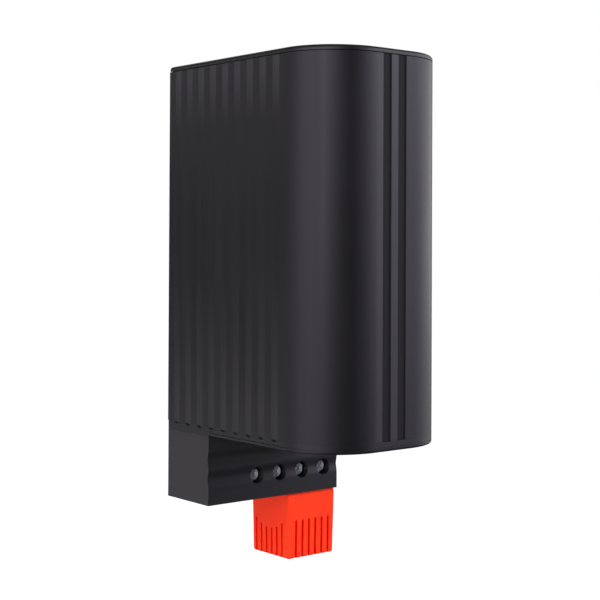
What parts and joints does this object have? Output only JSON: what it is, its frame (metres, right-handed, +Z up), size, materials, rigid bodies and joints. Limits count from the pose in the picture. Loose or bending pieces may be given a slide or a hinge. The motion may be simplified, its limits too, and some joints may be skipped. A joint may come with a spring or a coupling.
{
  "type": "enclosure heater",
  "caption": "Touch-safe convection heater for cabinets: fluted black casing with end grilles, finned heat sink inside, terminal housing, red plug-in temperature switch and rail clip.",
  "frame": {"origin": "middle of the rail, in the plane that the two flanges of a 35 mm top-hat rail rest on, halfway up the casing", "axes": "+Z up, -Y out of the rounded front, +X to the right seen from the front"},
  "size_m": [0.06, 0.0971, 0.1827],
  "materials": {
    "casing_plastic": "satin black extruded plastic with fine lines along the height",
    "cover_plastic": "satin black moulded plastic",
    "housing_plastic": "finely grained black moulded plastic",
    "spring_steel": "zinc-plated spring steel",
    "zinc_screws": "zinc-plated steel",
    "black_screws": "blackened steel",
    "sink_aluminium": "extruded aluminium",
    "tablet_ceramic": "matt dark ceramic",
    "frame_plastic": "pale heat-resistant plastic",
    "brass": "bright brass",
    "amber_film": "amber insulating film",
    "lead_insulation": "white lead insulation",
    "switch_plastic": "bright red moulded plastic",
    "strip_metal": "rolled bimetal",
    "contact_metal": "silver contact metal"
  },
  "bodies": {
    "root": {"casing": "casing_plastic", "top_cover": "cover_plastic", "base": "cover_plastic", "terminal_housing": "housing_plastic", "rail_clip": "spring_steel", "clip_screws": "zinc_screws", "cover_screws": "black_screws", "base_screws": "black_screws", "housing_screws": "black_screws", "heat_sink": "sink_aluminium", "heating_tablet_1": "tablet_ceramic", "heating_tablet_2": "tablet_ceramic", "heating_tablet_3": "tablet_ceramic", "locating_frame": "frame_plastic", "electrode_left": "brass", "electrode_right": "brass", "insulating_sleeve": "amber_film", "lead_supply": "lead_insulation", "lead_switched": "lead_insulation", "terminal_block_1": "brass", "terminal_block_2": "brass", "terminal_block_3": "brass", "terminal_block_4": "brass", "terminal_screws": "zinc_screws", "link_bar": "brass", "plug_cap": "switch_plastic", "plug_carrier": "switch_plastic", "plug_pin_1": "brass", "plug_pin_2": "brass", "bimetal_strip": "strip_metal", "contact_arm": "brass", "moving_contact": "contact_metal", "fixed_contact": "contact_metal"}
  },
  "joints": []
}
